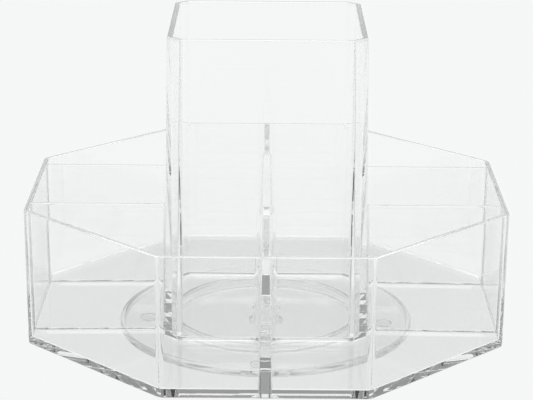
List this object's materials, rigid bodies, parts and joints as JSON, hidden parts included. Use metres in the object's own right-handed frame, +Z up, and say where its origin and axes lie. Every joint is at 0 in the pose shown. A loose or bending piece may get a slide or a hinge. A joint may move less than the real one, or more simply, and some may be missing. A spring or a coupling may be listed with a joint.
{
  "type": "rotating cosmetics organiser",
  "caption": "Clear eight-sided cosmetics tray with a tall square brush column, divided bays around it and a round turntable base it spins on.",
  "frame": {"origin": "centre of the ring of feet, on the plane the feet stand on", "axes": "+Z up along the turning axis, front wall towards -Y, side walls towards +X and -X"},
  "size_m": [0.23, 0.2254, 0.1603],
  "materials": {
    "clear_body": "crystal clear moulded polystyrene, polished",
    "clear_base": "crystal clear moulded polystyrene, polished",
    "pin_plastic": "clear moulded plastic, satin end faces",
    "glide_plastic": "natural translucent acetal",
    "foot_rubber": "clear soft silicone"
  },
  "bodies": {
    "base": {"base_disc": "clear_base", "glide_ring": "glide_plastic", "foot_left": "foot_rubber", "foot_right": "foot_rubber", "foot_front": "foot_rubber", "foot_back": "foot_rubber"},
    "organiser": {"tray_shell": "clear_body", "brush_column": "clear_body", "front_divider": "clear_body", "back_divider": "clear_body", "left_front_divider": "clear_body", "left_back_divider": "clear_body", "right_front_divider": "clear_body", "right_back_divider": "clear_body", "pivot_pin": "pin_plastic"}
  },
  "joints": [
    {"name": "turntable_spin", "type": "hinge", "parent": "base", "child": "organiser", "pos_m": [0, 0, 0.01], "axis": [0, 0, 1], "continuous": true}
  ]
}
